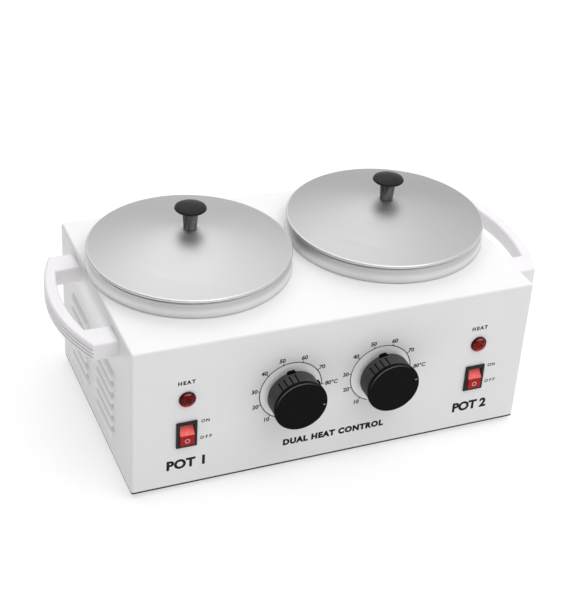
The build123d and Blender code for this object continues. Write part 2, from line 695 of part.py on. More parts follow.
# ---------------------------------------------------------------- power inlet
socket_w, socket_h, socket_d = 24.4, 16.6, 17.0
inlet_d = 21.0          # body behind the panel's outside face
pin_dx, pin_live_z, pin_earth_z = 7.0, -2.0, 3.0
pin_points = [(-pin_dx, pin_live_z), (pin_dx, pin_live_z), (0, pin_earth_z)]
with BuildPart() as power_inlet:
    with BuildSketch(back_plane(0, inlet_z)):
        RectangleRounded(49.0, 22.6, 5)
    extrude(amount=inlet_reach)
    fillet(faces().sort_by(Axis.Y)[-1].edges(), 0.8)
    with BuildSketch(back_plane(0, inlet_z)):
        Rectangle(inlet_cut_w - 0.5, inlet_cut_h - 0.5)
    extrude(amount=-inlet_d)
    # plug recess with its two cut corners
    with BuildSketch(back_plane(0, inlet_z, inlet_reach)) as socket:
        Rectangle(socket_w, socket_h)
        chamfer(socket.vertices().group_by(Axis.Y)[-1], 4.0)
    extrude(amount=-socket_d, mode=Mode.SUBTRACT)
    with BuildSketch(back_plane(0, inlet_z)):
        with Locations(*pin_points):
            Rectangle(4.05, 2.05)
    extrude(amount=-inlet_d, mode=Mode.SUBTRACT)
    with BuildSketch(back_plane(0, inlet_z, inlet_reach)):
        with GridLocations(2 * inlet_pitch, 0, 2, 1):
            Circle(3.1)
    extrude(amount=-1.6, taper=30, mode=Mode.SUBTRACT)
    with BuildSketch(back_plane(0, inlet_z, inlet_reach)):
        with GridLocations(2 * inlet_pitch, 0, 2, 1):
            Circle(inlet_screw_r + panel_gap)
    extrude(amount=-inlet_reach, mode=Mode.SUBTRACT)
save(power_inlet, "power_inlet")

pin_tip = 1.5           # pins stop this far inside the recess's mouth
with BuildPart() as inlet_pins:
    with BuildSketch(back_plane(0, inlet_z, inlet_reach - pin_tip)):
        with Locations(*pin_points):
            Rectangle(4.0, 2.0)
    extrude(amount=-(inlet_d + inlet_reach - pin_tip))
    with BuildSketch(back_plane(0, inlet_z, -inlet_d)):
        with Locations(*pin_points):
            Rectangle(4.8, 0.8)
    extrude(amount=-tab_l)
save(inlet_pins, "inlet_pins")

with BuildPart() as inlet_screws:
    with BuildSketch(back_plane(0, inlet_z, inlet_reach - 0.1)):
        with GridLocations(2 * inlet_pitch, 0, 2, 1):
            Circle(2.9)
    extrude(amount=-1.4, taper=32)
    with BuildSketch(back_plane(0, inlet_z, inlet_reach - 0.5)):
        with GridLocations(2 * inlet_pitch, 0, 2, 1):
            Circle(inlet_screw_r)
    extrude(amount=-9.0)
    with BuildSketch(back_plane(0, inlet_z, inlet_reach - 0.1)):
        with GridLocations(2 * inlet_pitch, 0, 2, 1):
            Rectangle(2.8, 0.7)
            Rectangle(0.7, 2.8)
    extrude(amount=-1.0, mode=Mode.SUBTRACT)
save(inlet_screws, "inlet_screws")

with BuildPart() as inlet_nuts:
    with BuildSketch(back_plane(0, inlet_z, -sheet)):
        with GridLocations(2 * inlet_pitch, 0, 2, 1):
            RegularPolygon(3.2, 6)
            Circle(inlet_screw_r + bore_gap, mode=Mode.SUBTRACT)
    extrude(amount=-2.4)
save(inlet_nuts, "inlet_nuts")

# ---------------------------------------------------------------- terminal block and earth
block_w, block_d, block_h = 74.0, 16.0, 14.0
block_y = -42.0
block_front, block_rear = block_y - block_d / 2, block_y + block_d / 2
pole_xs = (-30.0, -18.0, -6.0, 6.0, 18.0, 30.0)
pole_z = base_z + 7.0
pole_r = 2.0
pole_depth = 5.0
with BuildPart() as terminal_block:
    with BuildSketch(Plane((0, block_y, base_z))):
        RectangleRounded(block_w, block_d, 1.5)
    extrude(amount=block_h)
    for y, facing in ((block_front, -1), (block_rear, 1)):
        with BuildSketch(Plane(origin=(0, y, pole_z), x_dir=(1, 0, 0), z_dir=(0, facing, 0))):
            with Locations(*[(x, 0) for x in pole_xs]):
                Circle(pole_r)
        extrude(amount=-pole_depth, mode=Mode.SUBTRACT)
    with BuildSketch(Plane((0, block_y, base_z + block_h))):
        with Locations(*[(x, 0) for x in pole_xs]):
            Circle(2.6)
    extrude(amount=-3.0, mode=Mode.SUBTRACT)
save(terminal_block, "terminal_block")

screw_group("terminal_screws", [Plane((x, block_y, base_z + block_h - 2.4)) for x in pole_xs],
            head_r=2.3, head_h=1.6, shank_r=1.0, length=0.6)

earth_y = 52.0
earth_h = 7.0
with BuildPart() as earth_post:
    with BuildSketch(Plane((0, earth_y, base_z))):
        Circle(4.0)
    extrude(amount=1.2)
    with BuildSketch(Plane((0, earth_y, base_z))):
        Circle(1.8)
    extrude(amount=earth_h)
save(earth_post, "earth_post")

# ---------------------------------------------------------------- wiring
# Each wire runs from face to face between two terminals. The switched leads and the lamps' leads
# mirror from side to side; the poles left of the middle are live and those right of it neutral.
wire_r = 1.0
wire_bend = 4.0
inlet_tab_y = back_y - inlet_d - tab_l
front_pole_y = block_front + pole_depth
rear_pole_y = block_rear - pole_depth
switch_tab_y = switch_rear + tab_l
lamp_tab_y = lamp_rear + lamp_tab_l
thermostat_tab_z = case_low - tab_l
heater_tab_z = band_low - heater_tab_drop
lane_low, lane_mid, lane_high = 8.5, pole_z, 19.0


def heater_tab(side, turn):
    """Lower end of a heater tab, on the inner or outer side of the clamp."""
    a = radians(turn)
    point = clamp_plane(side, heater_tab_z).from_local_coords((heater_r * cos(a), heater_r * sin(a), 0))
    return point.X, point.Y


def wire_group(node, routes):
    with BuildPart() as wires:
        for route in routes:
            with BuildLine():
                FilletPolyline(*route, radius=wire_bend)
            with BuildSketch(Plane(origin=route[0], z_dir=Vector(*route[1]) - Vector(*route[0]))):
                Circle(wire_r)
            sweep()
    save(wires, node)


live_routes = [
    [(-pin_dx, inlet_tab_y, inlet_z + pin_live_z), (-pin_dx, 50, inlet_z + pin_live_z),
     (-18, 24, pole_z), (-18, rear_pole_y, pole_z)],
    [(-30, front_pole_y, pole_z), (-30, -60, lane_mid), (-100, -66, lane_mid), (-control_x, -46, 22),
     (-control_x, -46, switch_z - switch_tab_dz), (-control_x, switch_tab_y, switch_z - switch_tab_dz)],
    [(-6, front_pole_y, pole_z), (-6, -57, pole_z), (12, -66, lane_low), (60, -70, lane_low),
     (control_x, -46, 22), (control_x, -46, switch_z - switch_tab_dz),
     (control_x, switch_tab_y, switch_z - switch_tab_dz)],
]
neutral_routes = [
    [(pin_dx, inlet_tab_y, inlet_z + pin_live_z), (pin_dx, 50, inlet_z + pin_live_z),
     (18, 24, pole_z), (18, rear_pole_y, pole_z)],
]
for s in SIDES.values():
    inner_x, inner_y = heater_tab(s, s * heater_tab_angle)
    outer_x, outer_y = heater_tab(s, -s * heater_tab_angle)
    supply_x = s * (dial_x + thermostat_tab_dx)
    output_x = s * (dial_x - thermostat_tab_dx)
    lamp_live_x = s * (control_x - lamp_tab_dx)
    lamp_neutral_x = s * (control_x + lamp_tab_dx)
    heater_pole_x, lamp_pole_x = (6, 6) if s < 0 else (30, 30)
    # switch to thermostat, thermostat to heater, thermostat to lamp
    live_routes.append([(s * control_x, switch_tab_y, switch_z + switch_tab_dz),
                        (s * control_x, -49.5, switch_z + switch_tab_dz), (s * 88, -64, 38),
                        (supply_x, tab_y, 38), (supply_x, tab_y, thermostat_tab_z)])
    live_routes.append([(output_x, tab_y, thermostat_tab_z), (output_x, tab_y, 30),
                        (outer_x, outer_y, 30), (outer_x, outer_y, heater_tab_z)])
    live_routes.append([(lamp_live_x, lamp_tab_y, lamp_z), (lamp_live_x, -51.5, lamp_z), (s * 92, -70, 31),
                        (s * dial_x, tab_y, 31), (s * dial_x, tab_y, thermostat_tab_z)])
    # heater to terminal block
    neutral_routes.append([(inner_x, inner_y, heater_tab_z), (inner_x, inner_y, 27),
                           (heater_pole_x, -21, pole_z), (heater_pole_x, rear_pole_y, pole_z)])
    # lamp to terminal block
    lamp_lead = [(lamp_neutral_x, lamp_tab_y, lamp_z), (lamp_neutral_x, -51, lamp_z), (s * 122, -58, 50),
                 (s * 122, -64, lane_high)]
    if s < 0:
        lamp_lead += [(-20, -72, lane_high), (lamp_pole_x, -60, pole_z)]
    else:
        lamp_lead += [(44, -74, lane_high), (lamp_pole_x, -58, pole_z)]
    neutral_routes.append(lamp_lead + [(lamp_pole_x, front_pole_y, pole_z)])
wire_group("wiring_live", live_routes)
wire_group("wiring_neutral", neutral_routes)
wire_group("wiring_earth", [[(0, inlet_tab_y, inlet_z + pin_earth_z), (0, earth_y, inlet_z + pin_earth_z),
                             (0, earth_y, base_z + earth_h)]])
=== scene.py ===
"""Looks of a double wax warmer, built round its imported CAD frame.

Metres, +Z up, the front panel faces -Y."""

import math

import bmesh
import bpy
from mathutils import Matrix, Vector


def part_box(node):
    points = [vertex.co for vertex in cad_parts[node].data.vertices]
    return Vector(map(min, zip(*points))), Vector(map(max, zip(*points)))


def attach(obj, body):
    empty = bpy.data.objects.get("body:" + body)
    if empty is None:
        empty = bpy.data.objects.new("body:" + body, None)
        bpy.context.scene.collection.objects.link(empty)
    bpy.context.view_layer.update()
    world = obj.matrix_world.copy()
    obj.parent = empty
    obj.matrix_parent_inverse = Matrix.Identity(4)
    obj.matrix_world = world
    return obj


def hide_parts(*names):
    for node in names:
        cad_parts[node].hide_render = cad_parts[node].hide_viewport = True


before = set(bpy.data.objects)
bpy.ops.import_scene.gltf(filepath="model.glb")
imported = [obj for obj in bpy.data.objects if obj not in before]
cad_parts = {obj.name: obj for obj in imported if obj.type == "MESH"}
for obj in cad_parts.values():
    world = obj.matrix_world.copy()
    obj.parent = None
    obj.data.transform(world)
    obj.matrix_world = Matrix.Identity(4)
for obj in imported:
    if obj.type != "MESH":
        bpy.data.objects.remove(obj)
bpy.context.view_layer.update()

MM = 0.001
SIDES = ("left", "right")


# ---------------------------------------------------------------- places taken from the frame
def centre_of(node):
    """The middle of a CAD node's box."""
    low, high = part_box(node)
    return (low + high) / 2


BEZEL_T = 1.8 * MM              # a switch's bezel stands this far out of the front panel
PLATE_MARGIN = 1.4 * MM         # the base plate ends this far inside the box's walls
panel_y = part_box("switch_body_left")[0].y + BEZEL_T
POTS = {side: centre_of(f"wax_pot_{side}") for side in SIDES}
LIDS = {side: centre_of(f"lid_{side}") for side in SIDES}
DIALS = {side: centre_of(f"thermostat_shaft_{side}") for side in SIDES}
LAMPS = {side: centre_of(f"lamp_body_{side}") for side in SIDES}
SWITCHES = {side: centre_of(f"switch_body_{side}") for side in SIDES}

# the dials, as the CAD has them: angles in degrees up from three o'clock
DIAL_REST = {"left": -6.0, "right": 14.0}       # pointers at rest
GRIP_START = {"left": 94.0, "right": 99.5}      # first finger groove of a group
GRIP_STEP = 13.2
GRIP_COUNT, GRIP_GROUPS = 4, 3

# the printed scales: the right one sits a little off its shaft
SCALE_R = 23.25 * MM
SCALE_SHIFT = {"left": 0.0, "right": -1.4 * MM}
SCALES = {side: DIALS[side] + Vector((SCALE_SHIFT[side], 0, 0)) for side in SIDES}


# ---------------------------------------------------------------- material helpers
NOISE_LOW, NOISE_HIGH = 0.3, 0.7        # nearly all values of a noise lie between these
RADIAN_AS = 4 * MM                      # a ring's grain changes over a radian as it does over this length


def lighter(colour, factor):
    """A colour made lighter, or darker where factor is under 1."""
    return tuple(min(1.0, c * factor) for c in colour)


def add_node(tree, kind, inputs, **settings):
    """A shader node with its settings made, and each input linked or filled in."""
    made = tree.nodes.new(kind)
    for key, value in settings.items():
        setattr(made, key, value)
    for key, value in inputs.items():
        if isinstance(value, bpy.types.NodeSocket):
            tree.links.new(value, made.inputs[key])
        else:
            made.inputs[key].default_value = value
    return made


class Shader:
    """One material with a Principled shader, and short names for the nodes that feed it."""

    def __init__(self, name, colour, roughness, metallic=0.0, **constants):
        self.material = bpy.data.materials.new(name)
        self.material.use_nodes = True
        self.tree = self.material.node_tree
        self.surface = self.tree.nodes["Principled BSDF"]
        self.surface.inputs["Base Color"].default_value = (*colour, 1.0)
        self.surface.inputs["Roughness"].default_value = roughness
        self.surface.inputs["Metallic"].default_value = metallic
        for socket, value in constants.items():
            self.surface.inputs[socket.replace("_", " ")].default_value = value

    def node(self, kind, inputs=None, **settings):
        return add_node(self.tree, kind, inputs or {}, **settings)

    def math(self, operation, a, b=0.0):
        return self.node("ShaderNodeMath", {0: a, 1: b}, operation=operation).outputs[0]

    def product(self, first, *others):
        """Two or more values multiplied."""
        for other in others:
            first = self.math("MULTIPLY", first, other)
        return first

    def average(self, first, second, share=0.5):
        """A mean that takes share of the first value and the rest of the second."""
        return self.math("ADD", self.product(first, share), self.product(second, 1 - share))

    def apart(self, value, middle):
        """How far a value is from middle."""
        return self.math("ABSOLUTE", self.math("SUBTRACT", value, middle))

    def split(self, vector):
        """A vector's X, Y and Z."""
        return self.node("ShaderNodeSeparateXYZ", {0: vector}).outputs

    def place(self, centre=(0, 0, 0), stretch=(1, 1, 1)):
        """Position on the object, from centre, stretched along each axis."""
        coordinate = self.node("ShaderNodeTexCoord").outputs["Object"]
        moved = self.node("ShaderNodeVectorMath", {0: coordinate, 1: tuple(centre)}, operation="SUBTRACT")
        return self.node("ShaderNodeVectorMath", {0: moved.outputs[0], 1: stretch},
                         operation="MULTIPLY").outputs[0]

    def above(self, centre=(0, 0, 0)):
        """Height over centre."""
        return self.split(self.place(centre))["Z"]

    def out_of_panel(self):
        """Distance ahead of the front panel's face."""
        return self.math("SUBTRACT", panel_y, self.split(self.place())["Y"])

    def around(self, centre, axis):
        """Position round an axis: distance from it, distance along it from centre, and angle in radians."""
        here = self.split(self.place(centre))
        a, b = {"Y": (here["X"], here["Z"]), "Z": (here["X"], here["Y"])}[axis]
        radius = self.math("SQRT", self.math("ADD", self.product(a, a), self.product(b, b)))
        return radius, here[axis], self.math("ARCTAN2", b, a)

    def noise(self, vector, size, detail=2.0, roughness=0.5):
        """Noise whose features are about size metres across."""
        return self.node("ShaderNodeTexNoise", {"Vector": vector, "Scale": 1 / size, "Detail": detail,
                                                "Roughness": roughness}).outputs["Fac"]

    def spread(self, value, low, high, start=NOISE_LOW, end=NOISE_HIGH):
        """A value between start and end becomes one between low and high."""
        return self.node("ShaderNodeMapRange", {"Value": value, "From Min": start, "From Max": end,
                                                "To Min": low, "To Max": high}).outputs[0]

    def rise(self, value, start=NOISE_LOW, end=NOISE_HIGH):
        """0 up to start, 1 from end on."""
        return self.spread(value, 0, 1, start, end)

    def fall(self, value, start, end):
        """1 up to start, 0 from end on."""
        return self.spread(value, 1, 0, start, end)

    def blend(self, factor, first, second):
        """The first colour where factor is 0, the second where it is 1."""
        made = self.node("ShaderNodeMix", data_type="RGBA")
        self.tree.links.new(factor, made.inputs[0])
        for socket, colour in ((made.inputs[6], first), (made.inputs[7], second)):
            if isinstance(colour, bpy.types.NodeSocket):
                self.tree.links.new(colour, socket)
            else:
                socket.default_value = (*colour, 1.0)
        return made.outputs[2]

    def vary(self, noise, colour, tint):
        """A colour that a noise takes from darker to lighter, each way by tint."""
        return self.blend(self.rise(noise), lighter(colour, 1 - tint), lighter(colour, 1 + tint))

    def bump(self, height, depth, strength, after=None):
        """A normal tilted by a height from 0 to 1 that is depth metres deep, on top of the normal after."""
        inputs = {"Height": height, "Distance": depth, "Strength": strength}
        if after is not None:
            inputs["Normal"] = after
        return self.node("ShaderNodeBump", inputs).outputs[0]

    def feed(self, **sockets):
        """The finished material, with each value linked to its socket of the Principled shader."""
        for socket, value in sockets.items():
            self.tree.links.new(value, self.surface.inputs[socket.replace("_", " ")])
        return self.material


# ---------------------------------------------------------------- white powder coat
# Each pair is a soft edge, from the first value to the second.
COAT_WHITE = (0.81, 0.805, 0.812)
COAT_PAINTED_TOP_LIGHT = (0.855, 0.85, 0.857)                 # painted light on faces that look up
COAT_SHADE = (0.64, 0.635, 0.64)                # painted shade at the roots of the louvres
COAT_PAINTED_LIGHT = (0.98, 0.975, 0.98)                # painted light: louvre lips and ends, and inside the dial scales
DRIFT_DARK, DRIFT_LIGHT = 0.985, 1.01           # how far the white drifts
LOUVRE_ROOT = (0.05 * MM, 0.3 * MM)             # off the side wall
LOUVRE_LIP = (0.9 * MM, 2.5 * MM)
SCALE_DISC = (SCALE_R - 1.25 * MM, SCALE_R - 0.05 * MM)
PANEL_SKIN = (-0.4 * MM, -0.2 * MM)             # out of the panel: only its front face
FACING_UP, FACING_ENDS = (0.8, 0.95), (0.6, 0.9)        # parts of the normal along Z and along Y


def powder_coat():
    """White powder coat: orange peel a millimetre across, fine grit, and slow drifts in tone.

    It has painted light on faces that look up, inside the dial scales and on the louvres' lips and ends,
    and painted shade at the louvres' roots."""
    s = Shader("powder_coat", COAT_WHITE, 0.4)
    here = s.place()
    peel = s.noise(here, 1.1 * MM, detail=1.0)
    grit = s.noise(here, 0.25 * MM, detail=1.0)
    drift = s.noise(here, 60 * MM)
    side_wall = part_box("base_plate")[1].x + PLATE_MARGIN
    off_wall = s.math("SUBTRACT", s.math("ABSOLUTE", s.split(here)["X"]), side_wall)
    facing = s.split(s.node("ShaderNodeNewGeometry").outputs["Normal"])
    # painted shade where each louvre leaves the wall
    root_shade = s.rise(off_wall, *LOUVRE_ROOT)
    # painted highlights on each louvre's lip and on its ends
    lip = s.rise(off_wall, *LOUVRE_LIP)
    end_highlight = s.product(root_shade, s.rise(s.math("ABSOLUTE", facing["Y"]), *FACING_ENDS))
    tone = s.blend(s.rise(drift), lighter(COAT_WHITE, DRIFT_DARK), lighter(COAT_WHITE, DRIFT_LIGHT))
    # painted light: a lighter white on faces that look up
    tone = s.blend(s.rise(facing["Z"], *FACING_UP), tone, COAT_PAINTED_TOP_LIGHT)
    tone = s.blend(root_shade, tone, COAT_SHADE)
    tone = s.blend(s.math("MAXIMUM", lip, end_highlight), tone, COAT_PAINTED_LIGHT)
    # painted light inside each dial scale
    for side in SIDES:
        from_middle = s.around(SCALES[side], "Y")[0]
        inside = s.product(s.fall(from_middle, *SCALE_DISC), s.rise(s.out_of_panel(), *PANEL_SKIN))
        tone = s.blend(inside, tone, COAT_PAINTED_LIGHT)
    return s.feed(Base_Color=tone, Roughness=s.spread(s.noise(here, 8 * MM), 0.34, 0.44),
                  Normal=s.bump(grit, 0.01 * MM, 0.3, after=s.bump(peel, 0.05 * MM, 0.35)))


# ---------------------------------------------------------------- plastics
def moulded(name, colour, rough, depth=0.01 * MM, tint=0.04, **constants):
    """Moulded plastic: fine grain, faint flow marks, and a roughness that varies over the surface."""
    s = Shader(name, colour, rough[1], **constants)
    here = s.place()
    flow = s.noise(s.place(stretch=(1, 1, 4)), 14 * MM)
    return s.feed(Base_Color=s.vary(flow, colour, tint),
                  Roughness=s.spread(s.noise(here, 5 * MM), *rough),
                  Normal=s.bump(s.noise(here, 0.4 * MM, detail=3.0), depth, 0.6))


# Each pair is a soft edge on a dial, from the first value to the second.
CAP_BACK = (16.0 * MM, 16.4 * MM)               # out of the panel: the face, its lip and the neck behind it
CAP_SIDE = (18.85 * MM, 18.95 * MM)             # radius of the skirt: the lip and the lugs stand outside it
GROOVE_BACK = (7.4 * MM, 7.8 * MM)              # out of the panel
GROOVE_SIDE = (1.2, 1.9)                        # degrees from a groove's middle
GROUP_END = (GRIP_COUNT * GRIP_STEP - 1, GRIP_COUNT * GRIP_STEP)
LIP_HIGHLIGHT_INSIDE, LIP_HIGHLIGHT_OUTSIDE = (18.45 * MM, 18.8 * MM), (19.15 * MM, 19.4 * MM)
LIP_HIGHLIGHT_BACK = (19.0 * MM, 19.9 * MM)              # out of the panel
LIP_HIGHLIGHT_MIDDLE, LIP_HIGHLIGHT_SIDE = 112, (20, 63)          # painted highlight on the lip near its top, in degrees
LIP_HIGHLIGHT_MOST = 0.85
FULL_TURN = 360                                 # degrees


def dial_plastic(side):
    """Matt black dial: a finely grained skirt painted grey with light, a blacker cap, painted shade in
    the finger grooves, and a painted highlight on the lip near the top.
    """
    s = Shader(f"dial_plastic_{side}", (0.05, 0.05, 0.05), 0.4, Specular_IOR_Level=0.05)
    here = s.place(DIALS[side])
    flow = s.noise(here, 9 * MM)
    out = s.out_of_panel()
    radius, _, turn = s.around(DIALS[side], "Y")
    angle = s.math("DEGREES", turn)

    # painted light: the skirt is the cap's black plastic, painted grey where light falls on its side
    skirt = s.blend(s.rise(flow), (0.050, 0.050, 0.050), (0.066, 0.066, 0.065))
    cap = s.blend(s.rise(flow), (0.0022, 0.0022, 0.0024), (0.0036, 0.0034, 0.0034))
    on_cap = s.math("MAXIMUM", s.rise(out, *CAP_BACK), s.rise(radius, *CAP_SIDE))

    # painted shade in the finger grooves
    first_edge = GRIP_START[side] - GRIP_STEP / 2
    in_group = s.math("MODULO", s.math("ADD", angle, 2 * FULL_TURN - first_edge), FULL_TURN / GRIP_GROUPS)
    from_groove = s.apart(s.math("MODULO", in_group, GRIP_STEP), GRIP_STEP / 2)
    groove_shade = s.product(s.fall(from_groove, *GROOVE_SIDE), s.fall(in_group, *GROUP_END),
                       s.rise(out, *GROOVE_BACK), s.math("SUBTRACT", 1.0, on_cap))

    # painted highlight on the lip, strongest near its top
    lip = s.product(s.rise(radius, *LIP_HIGHLIGHT_INSIDE), s.fall(radius, *LIP_HIGHLIGHT_OUTSIDE), s.rise(out, *LIP_HIGHLIGHT_BACK))
    lip_highlight = s.product(lip, s.spread(s.apart(angle, LIP_HIGHLIGHT_MIDDLE), LIP_HIGHLIGHT_MOST, 0, *LIP_HIGHLIGHT_SIDE))

    # the finger grooves' painted shade goes over the skirt and the cap
    black = s.blend(groove_shade, s.blend(on_cap, skirt, cap), (0.006, 0.006, 0.006))
    return s.feed(Base_Color=s.blend(lip_highlight, black, (0.15, 0.15, 0.15)),
                  Roughness=s.spread(s.noise(here, 5 * MM), 0.34, 0.46),
                  Normal=s.bump(s.noise(here, 0.35 * MM, detail=3.0), 0.008 * MM, 0.5))


KNOB_CAP_H = 5.5 * MM           # the knob's cap, over its stem
STEM_HIGHLIGHT_FADE = 1 * MM               # the stem's painted highlight fades out over this height under the cap


def knob_plastic():
    """Black knob: a satin cap over a stem with painted grey highlight streaks."""
    s = Shader("knob_plastic", (0.03, 0.03, 0.03), 0.35, Specular_IOR_Level=0.11)
    here = s.place()
    cap_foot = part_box("lid_knob_left")[1].z - KNOB_CAP_H
    streaks = s.noise(s.place(stretch=(1, 1, 0.2)), 2.5 * MM, detail=3.0)
    # painted highlight: grey streaks down the stem, under the cap
    stem_highlight = s.product(s.fall(s.above(), cap_foot - STEM_HIGHLIGHT_FADE, cap_foot), s.spread(streaks, 0.25, 1))
    return s.feed(Base_Color=s.blend(stem_highlight, (0.015, 0.014, 0.015), (0.22, 0.215, 0.215)),
                  Roughness=s.spread(s.noise(here, 4 * MM), 0.26, 0.4),
                  Normal=s.bump(s.noise(here, 0.4 * MM, detail=3.0), 0.008 * MM, 0.5))


ROCKER_SEAM = (0.2 * MM, 0.5 * MM)      # where the painted shade meets the painted light, over the switch's middle


def rocker_plastic(side):
    """Red rocker: painted light on its upper half and painted shade on its lower half, with a faint painted
    red glow all over.
    """
    # a faint painted red glow over the whole rocker
    s = Shader(f"rocker_plastic_{side}", (0.5, 0.06, 0.06), 0.3, Specular_IOR_Level=0.12,
               Emission_Color=(1.0, 0.02, 0.02, 1.0), Emission_Strength=0.07)
    here = s.place()
    flow = s.noise(here, 1.4 * MM, detail=3.0)
    # painted shade on the lower half, painted light on the upper half
    painted_shaded_red = s.blend(s.rise(flow), (0.23, 0.008, 0.009), (0.34, 0.015, 0.016))
    clear = s.blend(s.rise(flow), (0.90, 0.135, 0.125), (1.0, 0.22, 0.20))
    return s.feed(Base_Color=s.blend(s.rise(s.above(SWITCHES[side]), *ROCKER_SEAM), painted_shaded_red, clear),
                  Roughness=s.spread(s.noise(here, 3 * MM), 0.22, 0.36),
                  Normal=s.bump(s.noise(here, 0.5 * MM, detail=2.0), 0.01 * MM, 0.4))


RING_GLOW = (-5.4 * MM, -0.5 * MM)      # painted glow on the ring: heights over a lamp's middle
LENS_PAINTED_LIGHT = (-5.2 * MM, -2.6 * MM)
LENS_RIM_HIGHLIGHT = (4.1 * MM, 4.9 * MM)
LENS_GLINT = {"left": (0.18, 0.007, 0.010), "right": (0.30, 0.014, 0.016)}      # painted glints, brighter on the right


def lamp_ring(side):
    """Black bezel with a painted red glow from the lens along its lower edge."""
    s = Shader(f"lamp_ring_{side}", (0.012, 0.008, 0.008), 0.35, Specular_IOR_Level=0.15)
    # painted glow from the lens, low on the ring
    glow = s.fall(s.above(LAMPS[side]), *RING_GLOW)
    grain = s.noise(s.place(), 0.5 * MM, detail=3.0)
    return s.feed(Base_Color=s.blend(glow, (0.012, 0.006, 0.006), (0.34, 0.03, 0.035)),
                  Roughness=s.spread(grain, 0.28, 0.42), Normal=s.bump(grain, 0.006 * MM, 0.4))


def lens_red(side):
    """Deep red cut lens: dark in the middle, with painted glints, painted light low in it and a painted
    highlight along its top.
    """
    s = Shader(f"lens_red_{side}", (0.10, 0.004, 0.006), 0.16, Specular_IOR_Level=0.10)
    here = s.place()
    height = s.above(LAMPS[side])
    # painted glints, then painted light low in the lens and a painted highlight along its top
    red = s.blend(s.rise(s.noise(here, 1.6 * MM, detail=2.0)), (0.050, 0.002, 0.003), LENS_GLINT[side])
    red = s.blend(s.fall(height, *LENS_PAINTED_LIGHT), red, (0.80, 0.055, 0.06))
    red = s.blend(s.rise(height, *LENS_RIM_HIGHLIGHT), red, (0.50, 0.11, 0.13))
    return s.feed(Base_Color=red, Roughness=s.spread(s.noise(here, 0.8 * MM), 0.08, 0.18))


# ---------------------------------------------------------------- metals
HIGHLIGHT_EDGE_FADE = 0.5 * MM                  # a painted highlight's edge fades in over this much of the radius
HIGHLIGHT_BAND_FADE = (1.0 * MM, 4.5 * MM)      # and a band of painted highlight fades out over these heights from its middle


def spun(name, colour, rough, centre, tint, pitch=0.5 * MM, anisotropy=0.5, bright=None, bright_edge=0.0,
         bright_at=None):
    """Spun or turned metal: rings about an upright axis, which also stretch its highlights.

    Beyond the radius bright_edge the metal takes the colour bright, a painted highlight, where one is given,
    and with bright_at only in a band at that height over centre."""
    s = Shader(name, colour, rough[1], metallic=1.0, Anisotropic=anisotropy)
    radius, height, turn = s.around(centre, "Z")
    along = s.product(turn, RADIAN_AS)
    unrolled = s.node("ShaderNodeCombineXYZ", {0: radius, 1: height, 2: along}).outputs[0]
    wide = s.noise(unrolled, 6 * pitch, detail=3.0)
    fine = s.noise(unrolled, pitch, detail=4.0, roughness=0.7)
    smudge = s.noise(s.place(), 25 * MM, detail=3.0)
    tone = s.average(wide, smudge, 0.6)
    metal = s.vary(tone, colour, tint)
    if bright:
        # painted highlight beyond bright_edge, and only in a band where bright_at is given
        painted_bright = s.rise(radius, bright_edge, bright_edge + HIGHLIGHT_EDGE_FADE)
        if bright_at is not None:
            painted_bright = s.product(painted_bright, s.fall(s.apart(height, bright_at), *HIGHLIGHT_BAND_FADE))
        metal = s.blend(painted_bright, metal, bright)
    tangent = s.node("ShaderNodeTangent", direction_type="RADIAL", axis="Z").outputs[0]
    return s.feed(Base_Color=metal, Roughness=s.spread(tone, *rough), Normal=s.bump(fine, 0.012 * MM, 0.5),
                  Tangent=tangent)


def brushed(name, colour, rough, stretch, tint=0.06):
    """Metal drawn or rolled one way: stretch is long across the grain."""
    s = Shader(name, colour, rough[1], metallic=1.0)
    grain = s.noise(s.place(stretch=stretch), 0.5 * MM, detail=4.0, roughness=0.7)
    patch = s.noise(s.place(), 18 * MM, detail=3.0)
    tone = s.average(grain, patch)
    return s.feed(Base_Color=s.vary(tone, colour, tint), Roughness=s.spread(tone, *rough),
                  Normal=s.bump(grain, 0.01 * MM, 0.4))


def zinc_sheet():
    """Zinc-plated sheet: pale crystals with a slight blue and straw drift."""
    s = Shader("zinc_sheet", (0.62, 0.63, 0.64), 0.35, metallic=1.0)
    here = s.place()
    crystals = s.node("ShaderNodeTexVoronoi", {"Vector": here, "Scale": 1 / (5 * MM)}).outputs["Color"]
    crystal = s.node("ShaderNodeSeparateColor", {0: crystals}).outputs[0]
    tint = s.blend(s.rise(s.noise(here, 40 * MM)), (0.60, 0.62, 0.66), (0.66, 0.64, 0.58))
    return s.feed(Base_Color=s.blend(s.spread(crystal, 0.0, 0.35, 0, 1), tint, (0.74, 0.75, 0.77)),
                  Roughness=s.spread(crystal, 0.28, 0.42, 0, 1),
                  Normal=s.bump(s.noise(here, 0.8 * MM, detail=3.0), 0.01 * MM, 0.4))


HEAT_WANDER = 12 * MM           # the tempering colours wander up and down by this much
STEEL_FOOT, STEEL_TOP = (0.50, 0.47, 0.43, 1), (0.42, 0.40, 0.40, 1)
HEAT_COLOURS = {0.4: (0.52, 0.40, 0.22, 1), 0.6: (0.36, 0.24, 0.30, 1), 0.78: (0.26, 0.30, 0.42, 1)}


